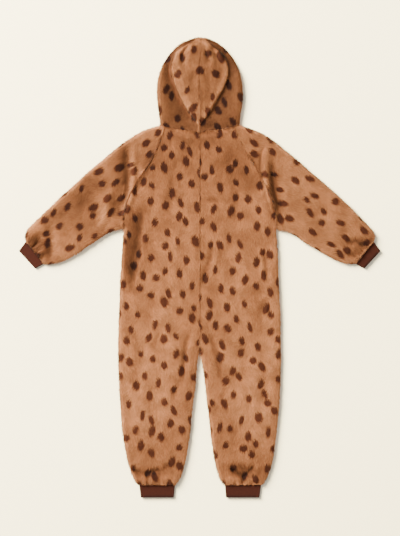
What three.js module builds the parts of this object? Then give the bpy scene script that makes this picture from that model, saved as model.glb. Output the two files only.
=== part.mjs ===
// A child's hooded plush onesie, laid face down. X runs across it, Y from ankles to hood, Z up from the surface.
import * as THREE from 'three';

// The cloth and how it lies, in millimetres
const cloth = 5;
const backTop = 13.8;
const edgeMiddle = backTop / 2;
const edgeRoll = 11;
const innerRoll = edgeRoll - 4;
const shoulderRoll = edgeRoll - 2;
const leastSlack = 0.6;
const gap = 0.3;
const raglanGap = gap / 1.5;
const rollSteps = [0, 1.5, 5, edgeRoll];

// The cut: heights along the body, and the reach of each part
const centreNeck = 329;
const neckRise = 10;
const neckHalf = 83;
const neckEnd = 95;
const archFrom = 250;
const underarm = 96;
const crotch = -197;
const legEnd = -519;
const zipHalf = 5;
const zipBottom = -102;
const zipPlacket = 26;
const zipTop = 318;
const hoodWide = 103;
const hoodMiddle = 425;
const hoodTop = 551.6;
const hoodFan = 470;
const ankleEnd = -551.6;
const wristReach = 434.7;

// The side of the body, from the raglan seam down to the ankle: distance from the centre seam on each side
const sideRows = [
  { y: 339, left: 83, right: 83 },
  { y: 310, left: 93, right: 95 },
  { y: 283, left: 104, right: 108 },
  { y: 256, left: 116, right: 124 },
  { y: 232, left: 134, right: 141 },
  { y: 208, left: 149, right: 154 },
  { y: 184, left: 164, right: 165 },
  { y: 160, left: 174, right: 174 },
  { y: 136, left: 180, right: 181 },
  { y: 96, left: 182, right: 183 },
  { y: 52, left: 186, right: 186 },
  { y: -82, left: 193, right: 192 },
  { y: -197, left: 196, right: 195 },
  { y: -293, left: 193, right: 193 },
  { y: -370, left: 188, right: 187 },
  { y: -447, left: 177, right: 178 },
  { y: -485, left: 167, right: 168 },
  { y: -504, left: 160, right: 161 },
  { y: -519, left: 150, right: 151 },
];

// The inside of each leg, from the crotch to the ankle
const inseamRows = [
  { y: -197, left: 0, right: 0 },
  { y: -222, left: 5, right: 5 },
  { y: -293, left: 12, right: 14 },
  { y: -370, left: 21, right: 23 },
  { y: -447, left: 30, right: 33 },
  { y: -485, left: 40, right: 41 },
  { y: -504, left: 47, right: 48 },
  { y: -519, left: 57, right: 58 },
];

// The two edges of a sleeve from wrist to body, and the far end of its cuff
const sleeveUnder = [
  { x: 372, y: 11 }, { x: 345, y: 11 }, { x: 301, y: 31 }, { x: 244, y: 67 }, { x: 215, y: 86 }, { x: 182, y: 96 },
];
const sleeveOver = [
  { x: 417, y: 65 }, { x: 418, y: 84 }, { x: 398, y: 108 }, { x: 316, y: 187 }, { x: 227, y: 264 },
  { x: 165, y: 314 }, { x: 128, y: 331 }, { x: 95, y: 342 },
];
const cuffTip = { under: { x: 395, y: -2 }, over: { x: wristReach, y: 41 } };

// Folds of the back and sleeves: how far each rises, or sinks, how wide it is and where it runs
const folds = [
  { rise: -3.0, reach: 10, line: [[-136, 122], [-145, 74], [-155, 33], [-167, -17], [-163, -75]] },
  { rise: 1.6, reach: 12, line: [[-118, 128], [-128, 70], [-140, 20], [-150, -40]] },
  { rise: -2.6, reach: 9, line: [[37, 66], [23, 24], [14, -5], [8, -51]] },
  { rise: 1.8, reach: 12, line: [[52, 58], [38, 18], [30, -20]] },
  { rise: -2.8, reach: 10, line: [[147, 60], [153, 20], [159, -17]] },
  { rise: -2.6, reach: 9, line: [[147, -62], [146, -98], [150, -135]] },
  { rise: 1.8, reach: 10, line: [[163, 30], [168, -30], [165, -90]] },
  { rise: -2.8, reach: 9, line: [[-14, -140], [-24, -172], [-34, -215], [-38, -270]] },
  { rise: -3.0, reach: 9, line: [[18, -140], [30, -180], [41, -215], [47, -262]] },
  { rise: 2.0, reach: 12, line: [[-52, -150], [-62, -215], [-66, -290]] },
  { rise: 2.0, reach: 12, line: [[56, -150], [64, -215], [70, -280]] },
  { rise: -2.4, reach: 13, line: [[-120, -300], [-112, -360], [-116, -430]] },
  { rise: -2.4, reach: 13, line: [[122, -290], [112, -350], [118, -415]] },
  { rise: 4.6, reach: 8, line: [[-170, 304], [-170, 247], [-166, 205], [-176, 160], [-182, 104]] },
  { rise: -3.2, reach: 12, line: [[-186, 290], [-188, 240], [-186, 195], [-196, 150], [-204, 112]] },
  { rise: -3.0, reach: 8, line: [[-151, 296], [-149, 260], [-147, 225], [-154, 194]] },
  { rise: 4.6, reach: 8, line: [[170, 296], [165, 250], [164, 205], [176, 158], [183, 104]] },
  { rise: -3.2, reach: 12, line: [[188, 284], [184, 240], [184, 195], [196, 150], [205, 112]] },
  { rise: -3.0, reach: 8, line: [[164, 304], [150, 278], [144, 250], [146, 222]] },
  { rise: -2.2, reach: 14, line: [[-250, 190], [-290, 150], [-330, 120]] },
  { rise: -2.2, reach: 14, line: [[250, 196], [292, 160], [326, 118]] },
  { rise: 2.0, reach: 12, line: [[-262, 160], [-300, 118], [-340, 88]] },
  { rise: 2.0, reach: 12, line: [[266, 158], [300, 122], [338, 92]] },
];

// Puckers that run up from each cuff: where along the cuff, how deep, how wide and how long
const anklePuckers = [
  { at: 0.14, rise: -2.6, reach: 5, length: 52 },
  { at: 0.31, rise: -3.0, reach: 5, length: 68 },
  { at: 0.50, rise: -3.0, reach: 6, length: 60 },
  { at: 0.68, rise: -3.0, reach: 5, length: 74 },
  { at: 0.86, rise: -2.6, reach: 5, length: 50 },
];
const wristPuckers = [
  { at: 0.22, rise: -2.6, reach: 5, length: 50 },
  { at: 0.48, rise: -3.0, reach: 5, length: 66 },
  { at: 0.74, rise: -2.8, reach: 5, length: 54 },
];
const puckerSpread = 1.35;
const armAngle = THREE.MathUtils.degToRad(40);

// The hood's spare depth, lying on it as a drop-shaped fold: half width and height above the hood
const dropRows = [
  { y: 343, half: 1.5, rise: 0.5 },
  { y: 368, half: 17, rise: 5 },
  { y: 391, half: 31, rise: 8 },
  { y: 417, half: 45, rise: 10 },
  { y: 444, half: 58, rise: 11.5 },
  { y: 475, half: 67, rise: 12.5 },
  { y: 500, half: 63, rise: 12 },
  { y: 520, half: 50, rise: 10 },
  { y: 537, half: 27, rise: 6.5 },
  { y: 548, half: 5, rise: 3 },
];
const dropFlank = 0.4;
const dropRise = Math.max(...dropRows.map((row) => row.rise));

// Beside the drop the hood sinks towards it: how deep, and how far out
const dropHollow = 4;
const dropHollowReach = 20;

// Cuffs of doubled rib knit
const cuffWall = 3;
const cuffTop = 7.6;
const cuffRoll = 3.4;
const ribPitch = 5;
const ribDepth = 0.7;
const cuffJoin = 0.8 * gap;
const ankleCuffs = {
  left: { innerTop: 59, outerTop: 146, innerEnd: 62, outerEnd: 142 },
  right: { innerTop: 60, outerTop: 148, innerEnd: 63, outerEnd: 144 },
};

// The zip: half width and heights of its tape and of the chain along its middle, its slider and the ribbon to pull
const tapeHalf = zipHalf - gap;
const tapeUnder = 2;
const tapeOver = 3.2;
const chainHalf = 2.2;
const chainUnder = 1.4;
const chainOver = 3.9;
const slider = { wide: 8.4, long: 11, high: 3.2, middle: 2.8 };
const ribbon = { wide: 6, long: 32, high: 0.8, middle: 0.5, below: 1 };

const plush = new THREE.MeshStandardMaterial({ color: 0xc48a66, roughness: 0.95, metalness: 0 });
const ribKnit = new THREE.MeshStandardMaterial({ color: 0x5a2a1b, roughness: 0.9, metalness: 0 });
const zipTape = new THREE.MeshStandardMaterial({ color: 0x7a4a34, roughness: 0.8, metalness: 0 });
const zipMetal = new THREE.MeshStandardMaterial({ color: 0x9a8468, roughness: 0.4, metalness: 1 });

const clamp = THREE.MathUtils.clamp;
const lerp = THREE.MathUtils.lerp;
const smoothstep = THREE.MathUtils.smoothstep;

// A column of a table at height y, on a smooth line through its rows
function tableAt(rows, column, y) {
  const down = rows[0].y > rows[rows.length - 1].y;
  const last = rows.length - 2;
  let i = 0;
  while (i < last && (down ? y < rows[i + 1].y : y > rows[i + 1].y)) i += 1;
  const slope = (j) => {
    const before = rows[Math.max(j - 1, 0)];
    const after = rows[Math.min(j + 1, rows.length - 1)];
    return (after[column] - before[column]) / (after.y - before.y);
  };
  const span = rows[i + 1].y - rows[i].y;
  const t = clamp((y - rows[i].y) / span, 0, 1);
  const start = (1 + 2 * t) * (1 - t) ** 2 * rows[i][column] + t * (1 - t) ** 2 * span * slope(i);
  const end = t * t * (3 - 2 * t) * rows[i + 1][column] + t * t * (t - 1) * span * slope(i + 1);
  return start + end;
}

// A smooth curve in the plane through points with x and y, on the left or right side
function edgeCurve(points, side) {
  return new THREE.CatmullRomCurve3(points.map((p) => new THREE.Vector3(side * p.x, p.y, 0)), false, 'centripetal');
}

// The neck seam arches down towards the centre
const neckY = (x) => centreNeck + neckRise * (x / neckHalf) ** 2;

// How far a point is from a line of points, and how far along it, from 0 to 1
function nearestOn(line, x, y) {
  let total = 0;
  let best = { distance: Infinity, along: 0 };
  for (let i = 0; i < line.length - 1; i += 1) {
    const [ax, ay] = line[i];
    const dx = line[i + 1][0] - ax;
    const dy = line[i + 1][1] - ay;
    const length = Math.hypot(dx, dy);
    const t = clamp(((x - ax) * dx + (y - ay) * dy) / length ** 2, 0, 1);
    const distance = Math.hypot(x - ax - t * dx, y - ay - t * dy);
    if (distance < best.distance) best = { distance, along: total + t * length };
    total += length;
  }
  return { distance: best.distance, along: best.along / total };
}

// Puckers become folds that fan out from the cuff's line towards the arm or leg
function puckerFolds(puckers, from, to, up) {
  const middle = new THREE.Vector2().lerpVectors(from, to, 0.5);
  return puckers.map(({ at, rise, reach, length }) => {
    const foot = new THREE.Vector2().lerpVectors(from, to, at);
    const head = foot.clone().sub(middle).multiplyScalar(puckerSpread).add(middle).addScaledVector(up, length);
    const heel = foot.clone().addScaledVector(up, -length / 2);
    return { rise, reach, line: [heel.toArray(), foot.toArray(), head.toArray()] };
  });
}

const allFolds = [...folds];
for (const side of [-1, 1]) {
  const key = side < 0 ? 'left' : 'right';
  const inside = new THREE.Vector2(side * tableAt(inseamRows, key, legEnd), legEnd);
  const outside = new THREE.Vector2(side * tableAt(sideRows, key, legEnd), legEnd);
  allFolds.push(...puckerFolds(anklePuckers, inside, outside, new THREE.Vector2(0, 1)));
  const under = new THREE.Vector2(side * sleeveUnder[0].x, sleeveUnder[0].y);
  const over = new THREE.Vector2(side * sleeveOver[0].x, sleeveOver[0].y);
  const arm = new THREE.Vector2(-side * Math.cos(armAngle), Math.sin(armAngle));
  allFolds.push(...puckerFolds(wristPuckers, under, over, arm));
}

// Height of the back and sleeves over the surface, before the edges are rounded
function backHeight(x, y) {
  let height = backTop + 0.5 * Math.sin(x / 31 + y / 57) * Math.sin(y / 43 - x / 71);
  for (const { rise, reach, line } of allFolds) {
    const { distance, along } = nearestOn(line, x, y);
    const fade = clamp(4 * Math.min(along, 1 - along), 0, 1);
    height += rise * fade * Math.exp(-((distance / reach) ** 2));
  }
  return Math.max(height, 2 * cloth + leastSlack);
}

// How far the cloth has turned flat at a distance from a folded edge: 0 at the edge, 1 past its roll
const turned = (distance, roll) => Math.sqrt(1 - (1 - clamp(distance / roll, 0, 1)) ** 2);

// The upper and lower layer at a point: inset is 0 on the outside and the wall's thickness inside
const upperZ = (top, inset, turn) => edgeMiddle + gap / 2 + (top - inset - edgeMiddle - gap / 2) * turn;
const lowerZ = (inset, turn) => edgeMiddle - gap / 2 - (edgeMiddle - gap / 2 - inset) * turn;

// A wall as one closed mesh between an outer and an inner grid of points, with a strip round its rim
function wallMesh(name, material, outer, inner) {
  const points = [...outer.flat(), ...inner.flat()];
  const triangles = [];
  const numbering = (grid, offset) => grid.map((row, r) => row.map((_, c) => offset + r * row.length + c));
  const out = numbering(outer, 0);
  const into = numbering(inner, outer.flat().length);
  const addGrid = (ids, flip) => {
    for (let r = 0; r < ids.length - 1; r += 1) {
      for (let c = 0; c < ids[r].length - 1; c += 1) {
        const [a, b, d, e] = [ids[r][c], ids[r][c + 1], ids[r + 1][c + 1], ids[r + 1][c]];
        if (flip) triangles.push([a, e, d], [a, d, b]);
        else triangles.push([a, b, d], [a, d, e]);
      }
    }
  };
  addGrid(out, false);
  addGrid(into, true);
  const rim = (ids) => [
    ids[0],
    ids.map((row) => row[row.length - 1]),
    [...ids[ids.length - 1]].reverse(),
    ids.map((row) => row[0]).reverse(),
  ];
  const lengths = (side) => {
    const sums = [0];
    for (let i = 1; i < side.length; i += 1) sums.push(sums[i - 1] + points[side[i]].distanceTo(points[side[i - 1]]));
    return sums.map((s) => s / sums[sums.length - 1]);
  };
  const innerRim = rim(into);
  rim(out).forEach((a, k) => {
    const b = innerRim[k];
    const [la, lb] = [lengths(a), lengths(b)];
    let i = 0;
    let j = 0;
    while (i < a.length - 1 || j < b.length - 1) {
      const stepOuter = j === b.length - 1 || (i < a.length - 1 && la[i + 1] <= lb[j + 1]);
      if (stepOuter) {
        triangles.push([a[i + 1], a[i], b[j]]);
        i += 1;
      } else {
        triangles.push([b[j], b[j + 1], a[i]]);
        j += 1;
      }
    }
  });
  const volume = triangles.reduce((sum, [a, b, c]) => {
    return sum + points[a].dot(new THREE.Vector3().crossVectors(points[b], points[c]));
  }, 0);
  const geometry = new THREE.BufferGeometry().setFromPoints(points);
  geometry.setIndex(triangles.flatMap(([a, b, c]) => (volume > 0 ? [a, b, c] : [a, c, b])));
  geometry.computeVertexNormals();
  const mesh = new THREE.Mesh(geometry, material);
  mesh.name = name;
  return mesh;
}

// Places across a width: close together in the roll of each edge, even between
function placesAcross(width, between, roll = edgeRoll) {
  const edge = rollSteps.map((s) => (s * roll) / edgeRoll / width);
  const middle = [];
  for (let i = 1; i <= between; i += 1) middle.push(lerp(edge[3], 1 - edge[3], i / (between + 1)));
  return [...edge, ...middle, ...edge.map((t) => 1 - t).reverse()];
}

// Heights of the body's rows, the same for back and front, so that their seams meet
const raglanRows = [339, 310, 283, 256, 232, 208, 184, 160, 136, 112, 107, 101, 97.5, 96];
const bodyRows = [...raglanRows];
for (const y of [75, 52, 28, 2, -24, -50, -76, -102, -128, -152, -174, -190, -195, -197]) bodyRows.push(y);
for (const y of [-201, -210, -222, -245, -270, -296, -322, -348, -374, -400, -422, -440]) bodyRows.push(y);
for (const y of [-456, -470, -482, -492, -501, -509, -515, legEnd]) bodyRows.push(y);

// One panel from neck to ankle: the upper layer is the back, the lower one the front
function bodyPanel(name, side, isBack, between) {
  const key = side < 0 ? 'left' : 'right';
  const grid = (inset, count) => bodyRows.map((y) => {
    const isSideSeam = y <= underarm;
    const isLeg = y <= crotch;
    let inside = isLeg ? tableAt(inseamRows, key, y) : 0;
    if (!isBack && !isLeg) inside = zipHalf * smoothstep(y, zipBottom - zipPlacket, zipBottom);
    const outside = tableAt(sideRows, key, y) - (isSideSeam ? 0 : raglanGap);
    const from = inside + gap / 2 + (isLeg ? inset : 0);
    const to = outside - (isSideSeam ? inset : 0);
    const roll = inset ? innerRoll : edgeRoll;
    return placesAcross(to - from, count, roll).map((t) => {
      const x = lerp(from, to, t);
      const nearNeck = clamp((y - archFrom) / (bodyRows[0] - archFrom), 0, 1) ** 2;
      const arch = neckRise * ((x / outside) ** 2 - 1) * nearNeck;
      const py = y + arch - (y === bodyRows[0] ? gap / 2 : 0);
      const toSide = isSideSeam ? to - x : Math.hypot(to - x, y - underarm);
      const toInseam = isLeg ? x - from : Math.hypot(x - from, y - crotch);
      const turn = turned(toSide, roll) * turned(toInseam, roll);
      const z = isBack ? upperZ(backHeight(side * x, py), inset, turn) : lowerZ(inset, turn);
      return new THREE.Vector3(side * x, py, z);
    });
  });
  return wallMesh(name, plush, grid(0, between), grid(cloth, Math.min(between, 3)));
}

// A sleeve: one piece folded along its upper edge and sewn along its lower edge
function sleeve(name, side) {
  const key = side < 0 ? 'left' : 'right';
  const under = edgeCurve(sleeveUnder, side);
  const over = edgeCurve(sleeveOver, side);
  const bodyEnd = [...raglanRows].reverse().map((y) => {
    const neckGap = y === bodyRows[0] ? gap / 2 : 0;
    return new THREE.Vector3(side * (tableAt(sideRows, key, y) + raglanGap), y - neckGap, 0);
  });
  for (const step of [shoulderRoll, ...rollSteps.slice(1, 3).reverse(), 0]) {
    const x = neckEnd - step;
    bodyEnd.push(new THREE.Vector3(side * x, neckY(x) - gap / 2, 0));
  }
  const count = bodyEnd.length;
  const alongEnd = [0];
  for (let i = 1; i < count; i += 1) alongEnd.push(alongEnd[i - 1] + bodyEnd[i].distanceTo(bodyEnd[i - 1]));
  const wristWidth = under.getPoint(0).distanceTo(over.getPoint(0));
  const places = placesAcross(wristWidth, count - 2 * rollSteps.length, shoulderRoll);
  const armRows = [0, 0.03, 0.07, 0.12, 0.18, 0.26, 0.36, 0.47, 0.58, 0.69, 0.79, 0.87, 0.94, 1];
  const layer = (inset, isUpper) => armRows.map((v) => {
    const low = under.getPoint(v);
    const high = over.getPoint(v);
    const width = low.distanceTo(high);
    return places.map((place, i) => {
      const t = lerp(place, alongEnd[i] / alongEnd[count - 1], v * v);
      const flat = new THREE.Vector3().lerpVectors(low, high, t);
      const corner = new THREE.Vector3().lerpVectors(bodyEnd[0], bodyEnd[count - 1], t);
      const endShift = new THREE.Vector3().subVectors(bodyEnd[i], corner).multiplyScalar(v ** 3);
      const lowShift = new THREE.Vector3().subVectors(bodyEnd[0], under.getPoint(1)).multiplyScalar(v ** 3);
      const p = flat.add(endShift).addScaledVector(lowShift, 1 - t);
      const fromEdge = Math.min(t, 1 - t) * width;
      const inward = new THREE.Vector3().subVectors(high, low).normalize();
      const push = inset * (1 - 2 * t) * (1 - smoothstep(v, 0.97, 1) * smoothstep(Math.min(t, 1 - t), 0, 0.08));
      p.addScaledVector(inward, v === 1 ? 0 : push);
      const turn = turned(fromEdge, inset ? innerRoll : edgeRoll);
      p.z = isUpper ? upperZ(backHeight(p.x, p.y), inset, turn) : lowerZ(inset, turn);
      return p;
    });
  });
  const folded = (inset) => {
    const upper = layer(inset, true);
    return layer(inset, false).map((row, r) => [...row.slice(0, -1), ...upper[r].slice().reverse()]);
  };
  return wallMesh(name, plush, folded(0), folded(cloth));
}

// Half of the hood: in from the rim round the face, out to the folded edge, and over to the centre seam.
// It is laid out on rays from its outline to the middle, the first along the neck and the last up the centre.
function hoodHalf(name, side) {
  const raysUp = [0, 0.05, 0.12, 0.2, 0.28, 0.36, 0.44, 0.52, 0.6, 0.68, 0.76, 0.83, 0.89, 0.94, 0.97, 1];
  const turnShare = 0.36;
  const rimAtNeck = 0.9;
  const rimAtCrown = 0.5;
  const sinkFrom = 1;
  const sinkTo = 9;
  const flankSteps = [-3, 0, 1.5, 7];
  const noDrop = { half: 0.1, rise: 0 };
  const outlineAt = (t) => {
    if (t < turnShare) {
      const up = t / turnShare;
      return new THREE.Vector2(lerp(neckEnd, hoodWide, smoothstep(up, 0, 1)), lerp(neckY(neckEnd), hoodMiddle, up));
    }
    const angle = (((t - turnShare) / (1 - turnShare)) * Math.PI) / 2;
    return new THREE.Vector2(hoodWide * Math.cos(angle), lerp(hoodMiddle, hoodTop, Math.sin(angle)));
  };
  const dropSize = (y) => {
    const inside = y > dropRows[0].y && y < dropRows[dropRows.length - 1].y;
    return inside ? { half: tableAt(dropRows, 'half', y), rise: tableAt(dropRows, 'rise', y) } : noDrop;
  };
  const topAt = (p) => {
    const { half, rise } = dropSize(p.y);
    const across = clamp(Math.abs(p.x) / half, 0, 1);
    const beside = Math.max(Math.abs(p.x) - half, 0);
    const sink = dropHollow * (rise / dropRise) * Math.exp(-((beside / dropHollowReach) ** 2));
    return backTop + rise * (1 - across ** 2) ** dropFlank - sink;
  };
  const pointAt = (edge, centre, s, t) => {
    const p = new THREE.Vector2().lerpVectors(edge, centre, s);
    p.y += (neckY(p.x) - lerp(neckY(neckEnd), centreNeck, s)) * (1 - t) ** 3;
    return p;
  };
  const grid = (inset) => raysUp.map((t) => {
    const edge = outlineAt(t);
    const centre = new THREE.Vector2(0, lerp(centreNeck, hoodFan, t));
    const width = edge.distanceTo(centre);
    let near = 0;
    let far = 1;
    for (let i = 0; i < 24; i += 1) {
      const s = (near + far) / 2;
      const p = pointAt(edge, centre, s, t);
      if (Math.abs(p.x) < dropSize(p.y).half) far = s;
      else near = s;
    }
    const dropEdge = clamp(near, 0.05, 0.985);
    const roll = Math.min(edgeRoll, 0.45 * dropEdge * width) / width;
    const rim = lerp(rimAtNeck, rimAtCrown, smoothstep(t, 0, turnShare));
    const rolled = rollSteps.map((d) => (d / edgeRoll) * roll);
    const lower = [rim, lerp(roll, rim, 0.5), ...rolled.slice(1).reverse(), 0];
    const squeezed = flankSteps.map((step, i) => {
      const least = lerp(roll, dropEdge, 0.6 + 0.1 * i);
      const most = lerp(dropEdge, 1, 0.1 + 0.15 * i);
      return clamp(dropEdge + step / width, least, most);
    });
    const upper = [0, ...rolled.slice(1), ...squeezed, lerp(squeezed[3], 1, 0.35), lerp(squeezed[3], 1, 0.7), 1];
    const open = smoothstep(t, 0.1, 0.3);
    const place = (s, isUpper) => {
      const shift = (inset * Math.max(0, 1 - s / Math.max(roll, 0.02))) / width;
      const p = pointAt(edge, centre, Math.min(s + shift, 1), t);
      const turn = turned(s / roll, 1);
      let z = isUpper ? upperZ(topAt(p), 0, turn) : lowerZ(inset, turn);
      if (isUpper && inset) {
        const sunk = smoothstep(s, rim + sinkFrom / width, rim + sinkTo / width) * open;
        z = lerp(upperZ(backTop, cloth, turn), cloth + leastSlack, smoothstep(s, roll, rim));
        z = lerp(Math.max(z, s < roll ? 0 : cloth + leastSlack), 0, sunk);
      }
      const y = t === 0 ? p.y + gap / 2 : p.y;
      return new THREE.Vector3(side * Math.max(p.x, gap / 2), y, z);
    };
    const pastRim = [0.35, 0.7].map((share) => rim + Math.min(14 / width, 1 - rim) * share);
    const over = inset ? [0, ...rolled.slice(1), lerp(roll, rim, 0.5), rim, ...pastRim, 1] : upper;
    return [...lower.map((s) => place(s, false)), ...over.map((s) => place(s, true))];
  });
  return wallMesh(name, plush, grid(0), grid(cloth));
}

// A flattened tube of rib knit, sewn along one edge, from the line where it joins to its open end
function cuff(name, joinUnder, joinOver, endUnder, endOver) {
  const steps = [0, 0.5, 1];
  const layer = (inset, isUpper) => steps.map((v) => {
    const low = new THREE.Vector2().lerpVectors(joinUnder, endUnder, v);
    const high = new THREE.Vector2().lerpVectors(joinOver, endOver, v);
    const width = low.distanceTo(high);
    const ribs = Math.round(joinUnder.distanceTo(joinOver) / ribPitch);
    const places = [0, 0.25, 0.65].map((d) => (d * cuffRoll) / width);
    const middle = inset ? 2 : 2 * ribs - 1;
    for (let i = 0; i <= middle; i += 1) places.push(lerp(cuffRoll / width, 1 - cuffRoll / width, i / middle));
    places.push(...[0.65, 0.25, 0].map((d) => 1 - (d * cuffRoll) / width));
    return places.map((t, i) => {
      const fromEdge = Math.min(t, 1 - t) * width;
      const p = new THREE.Vector2().lerpVectors(low, high, lerp(inset / width, 1 - inset / width, t));
      const turn = turned(fromEdge, cuffRoll);
      const valley = !inset && i > 3 && i < places.length - 4 && i % 2 === 0 ? ribDepth : 0;
      const middleZ = cuffTop / 2;
      const top = middleZ + gap / 2 + (cuffTop - inset - valley - middleZ - gap / 2) * turn;
      const bottom = middleZ - gap / 2 - (middleZ - gap / 2 - inset - valley) * turn;
      return new THREE.Vector3(p.x, p.y, isUpper ? top : bottom);
    });
  });
  const folded = (inset) => {
    const upper = layer(inset, true);
    return layer(inset, false).map((row, r) => [...row.slice(0, -1), ...upper[r].slice().reverse()]);
  };
  return wallMesh(name, ribKnit, folded(0), folded(cuffWall));
}

// The zip between the two fronts, closed up to the neck
function zip() {
  const underside = [[-tapeHalf, tapeUnder], [-chainHalf, tapeUnder], [-chainHalf, chainUnder]];
  const topside = [[tapeHalf, tapeOver], [chainHalf, tapeOver], [chainHalf, chainOver]];
  const mirrored = (corners) => corners.map(([x, z]) => [-x, z]).reverse();
  const corners = [...underside, ...mirrored(underside), ...topside, ...mirrored(topside)];
  const profile = new THREE.Shape(corners.map(([x, z]) => new THREE.Vector2(x, z)));
  const stripLength = zipTop - zipBottom - slider.long - gap;
  const strip = new THREE.ExtrudeGeometry(profile, { depth: stripLength, bevelEnabled: false });
  const tape = new THREE.Mesh(strip, zipTape);
  tape.name = 'zip_tape';
  tape.rotation.x = Math.PI / 2;
  tape.position.y = zipBottom + stripLength;
  const carriage = new THREE.Mesh(new THREE.BoxGeometry(slider.wide, slider.long, slider.high), zipMetal);
  carriage.name = 'zip_slider';
  carriage.position.set(0, zipTop - slider.long / 2, slider.middle);
  const pull = new THREE.Mesh(new THREE.BoxGeometry(ribbon.wide, ribbon.long, ribbon.high), zipTape);
  pull.name = 'zip_pull_ribbon';
  pull.position.set(0, zipTop - ribbon.below - ribbon.long / 2, ribbon.middle);
  return [tape, carriage, pull];
}

const onesie = new THREE.Group();
for (const side of [-1, 1]) {
  const key = side < 0 ? 'left' : 'right';
  onesie.add(bodyPanel(`back_${key}`, side, true, 9));
  onesie.add(bodyPanel(`front_${key}`, side, false, 1));
  onesie.add(sleeve(`sleeve_${key}`, side));
  onesie.add(hoodHalf(`hood_${key}`, side));
  const at = (x, y) => new THREE.Vector2(side * x, y);
  const joinUnder = at(sleeveUnder[0].x + cuffJoin, sleeveUnder[0].y - cuffJoin);
  const joinOver = at(sleeveOver[0].x + cuffJoin, sleeveOver[0].y - cuffJoin);
  const { under, over } = cuffTip;
  onesie.add(cuff(`wrist_cuff_${key}`, joinUnder, joinOver, at(under.x, under.y), at(over.x, over.y)));
  const { innerTop, outerTop, innerEnd, outerEnd } = ankleCuffs[key];
  const topY = legEnd - gap;
  const legCorners = [at(innerTop, topY), at(outerTop, topY), at(innerEnd, ankleEnd), at(outerEnd, ankleEnd)];
  onesie.add(cuff(`ankle_cuff_${key}`, ...legCorners));
}
for (const piece of zip()) onesie.add(piece);

export default onesie;
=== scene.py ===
# A child's spotted plush onesie, laid face down on a pale surface
import math

import bpy
import numpy as np
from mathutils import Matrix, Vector
from mathutils.bvhtree import BVHTree


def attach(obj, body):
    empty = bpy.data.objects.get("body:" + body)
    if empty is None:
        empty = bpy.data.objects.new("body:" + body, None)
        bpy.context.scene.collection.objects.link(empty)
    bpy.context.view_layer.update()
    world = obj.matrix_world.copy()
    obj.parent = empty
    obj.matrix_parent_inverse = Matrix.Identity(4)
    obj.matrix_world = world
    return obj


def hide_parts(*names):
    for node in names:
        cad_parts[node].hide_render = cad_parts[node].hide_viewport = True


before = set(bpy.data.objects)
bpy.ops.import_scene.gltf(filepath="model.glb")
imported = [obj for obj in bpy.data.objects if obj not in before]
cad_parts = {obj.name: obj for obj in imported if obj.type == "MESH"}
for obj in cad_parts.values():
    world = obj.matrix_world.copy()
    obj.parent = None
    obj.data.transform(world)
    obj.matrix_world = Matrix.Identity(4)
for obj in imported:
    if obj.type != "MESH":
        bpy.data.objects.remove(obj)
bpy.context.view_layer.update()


# Back panels: the left and right back, each one plush panel from neck to ankle, sewn together down the
# centre, to the sleeves along the raglan seams, and to the fronts at the sides. The plush is a knitted
# ground with a short pile, so the cloth lies a little under the tips of its pile.
MM = 0.001
weld_within = 0.02 * MM
sharp_fold = math.radians(58)


def plush_from(node, name, rounds):
    """The cloth of one piece: its solid's form, welded and rounded, with its sharp folds kept."""
    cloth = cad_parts[node].copy()
    cloth.data = cloth.data.copy()
    cloth.name = name
    for key in list(cloth.keys()):
        del cloth[key]
    cloth.parent = None
    bpy.context.scene.collection.objects.link(cloth)
    bpy.ops.object.select_all(action="DESELECT")
    cloth.select_set(True)
    bpy.context.view_layer.objects.active = cloth
    bpy.ops.object.mode_set(mode="EDIT")
    bpy.ops.mesh.select_all(action="SELECT")
    bpy.ops.mesh.remove_doubles(threshold=weld_within)
    bpy.ops.mesh.tris_convert_to_quads()
    bpy.ops.mesh.select_all(action="DESELECT")
    bpy.ops.mesh.select_mode(type="EDGE")
    bpy.ops.mesh.edges_select_sharp(sharpness=sharp_fold)
    bpy.ops.transform.edge_crease(value=1.0)
    bpy.ops.object.mode_set(mode="OBJECT")
    rounding = cloth.modifiers.new("Rounding", "SUBSURF")
    rounding.levels = rounding.render_levels = rounds
    bpy.ops.object.modifier_apply(modifier=rounding.name)
    bpy.ops.object.shade_smooth()
    return cloth


def points_of(piece):
    places = np.empty(3 * len(piece.data.vertices))
    piece.data.vertices.foreach_get("co", places)
    return places.reshape(-1, 3)


def normals_of(piece):
    normals = np.empty(3 * len(piece.data.vertices))
    piece.data.vertices.foreach_get("normal", normals)
    return normals.reshape(-1, 3)


def move_points(piece, places):
    piece.data.vertices.foreach_set("co", places.ravel())
    piece.data.update()


def values_of(piece, name):
    values = np.empty(len(piece.data.vertices), dtype=np.float32)
    piece.data.attributes[name].data.foreach_get("value", values)
    return values


def keep_values(piece, name, values):
    layer = piece.data.attributes.new(name, "FLOAT", "POINT")
    layer.data.foreach_set("value", values.astype(np.float32))


def tree_of(pieces):
    """The faces of some pieces in one tree, to cast rays at."""
    corners, faces = [], []
    for piece in pieces:
        base = len(corners)
        corners.extend(points_of(piece).tolist())
        faces.extend([[base + v for v in face.vertices] for face in piece.data.polygons])
    return BVHTree.FromPolygons(corners, faces)


# How thick a wall is looked for under a place that faces up, and from how far below its top
facing_up = 0.05
just_below = 0.02 * MM
deepest_wall = 8 * MM


def wall_under(cloth, places, normals):
    """How thick the wall is under each place that faces up, so that no top goes down through its own wall."""
    faces = [list(face.vertices) for face in cloth.data.polygons]
    tree = BVHTree.FromPolygons(places.tolist(), faces)
    thick = np.full(len(places), np.inf)
    for i in np.nonzero(normals[:, 2] > facing_up)[0]:
        start = Vector(places[i]) - Vector((0, 0, just_below))
        hit = tree.ray_cast(start, Vector((0, 0, -1)), deepest_wall)
        if hit[0] is not None:
            thick[i] = hit[3]
    return thick


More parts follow.
